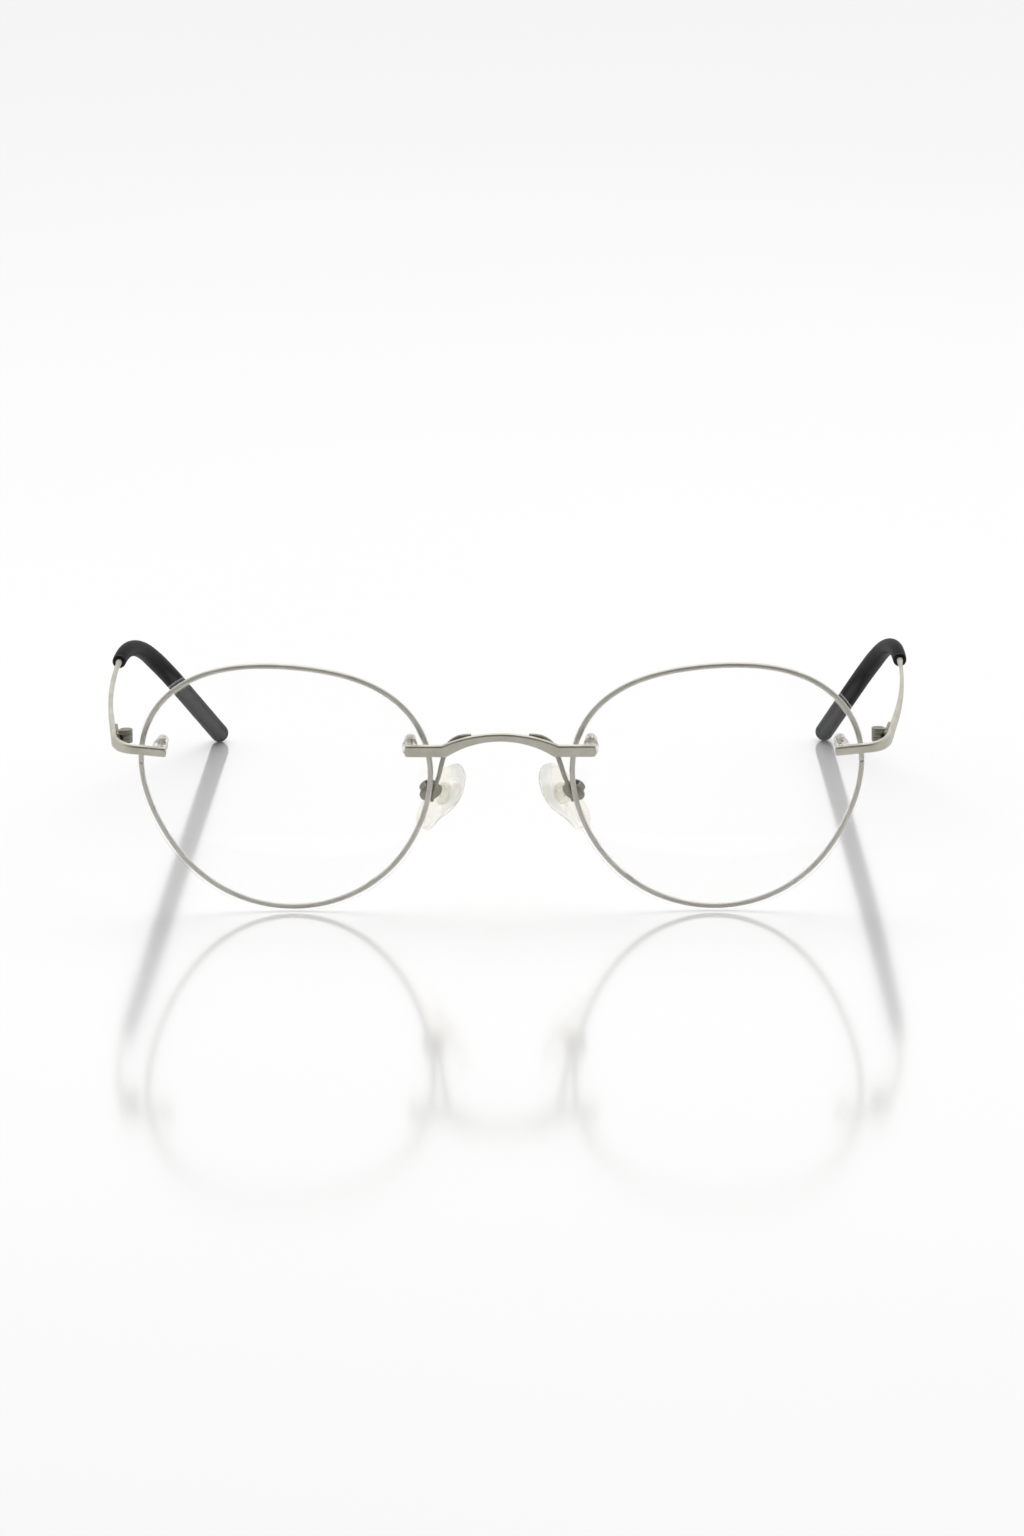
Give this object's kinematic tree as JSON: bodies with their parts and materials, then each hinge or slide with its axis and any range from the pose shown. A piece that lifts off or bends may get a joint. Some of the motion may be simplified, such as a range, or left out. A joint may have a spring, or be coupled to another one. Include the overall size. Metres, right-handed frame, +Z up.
{
  "type": "round wire eyeglasses",
  "caption": "Clear grooved round lenses with a thin metal rim wire, pinned bridge and end pieces, rocking nose pads and folding temples with black tip sleeves.",
  "frame": {"origin": "on the ground under the middle of the glasses, which stand on the lower edges of the lenses and the tips of the temples", "axes": "front faces -Y, temples run to +Y, +Z up, the wearer's left is +X"},
  "size_m": [0.1334, 0.1364, 0.0461],
  "materials": {
    "lens": "clear polished lens with a faint cool tint",
    "rim_wire": "satin nickel-silver wire",
    "frame_metal": "satin warm grey nickel plate",
    "fittings": "satin nickel, slightly darker in the recesses",
    "fastener": "turned nickel-silver screws and pins",
    "clear_plastic": "clear moulded nylon",
    "pad_silicone": "clear, very slightly yellow silicone",
    "tip_sleeve": "black acetate tube with a soft sheen"
  },
  "bodies": {
    "front": {"left_lens": "lens", "right_lens": "lens", "left_rim_wire": "rim_wire", "right_rim_wire": "rim_wire", "bridge_bar": "frame_metal", "left_end_piece": "frame_metal", "right_end_piece": "frame_metal", "left_nasal_bush": "clear_plastic", "right_nasal_bush": "clear_plastic", "left_temporal_bush": "clear_plastic", "right_temporal_bush": "clear_plastic", "left_nasal_pin": "fastener", "right_nasal_pin": "fastener", "left_temporal_pin": "fastener", "right_temporal_pin": "fastener", "left_pad_arm": "fittings", "right_pad_arm": "fittings", "left_pad_box": "fittings", "right_pad_box": "fittings", "left_pad_screw": "fastener", "right_pad_screw": "fastener", "left_front_hinge": "fittings", "right_front_hinge": "fittings", "left_hinge_screw": "fastener", "right_hinge_screw": "fastener"},
    "left_pad": {"left_pad_insert": "clear_plastic", "left_nose_pad": "pad_silicone"},
    "left_temple_body": {"left_temple": "frame_metal", "left_temple_hinge": "fittings", "left_tip_sleeve": "tip_sleeve"},
    "right_pad": {"right_pad_insert": "clear_plastic", "right_nose_pad": "pad_silicone"},
    "right_temple_body": {"right_temple": "frame_metal", "right_temple_hinge": "fittings", "right_tip_sleeve": "tip_sleeve"}
  },
  "joints": [
    {"name": "left_temple_fold", "type": "hinge", "parent": "front", "child": "left_temple_body", "pos_m": [0.06125, -0.05596, 0.031], "axis": [0, 0, 1], "range_deg": [0, 83]},
    {"name": "right_temple_fold", "type": "hinge", "parent": "front", "child": "right_temple_body", "pos_m": [-0.06125, -0.05596, 0.031], "axis": [0, 0, -1], "range_deg": [0, 79]},
    {"name": "left_pad_rock", "type": "hinge", "parent": "front", "child": "left_pad", "pos_m": [0.01193, -0.05536, 0.02184], "axis": [0.3676, 0.7629, 0.5318], "range_deg": [-12, 12]},
    {"name": "right_pad_rock", "type": "hinge", "parent": "front", "child": "right_pad", "pos_m": [-0.01193, -0.05536, 0.02184], "axis": [-0.3676, 0.7629, 0.5318], "range_deg": [-12, 12]}
  ]
}
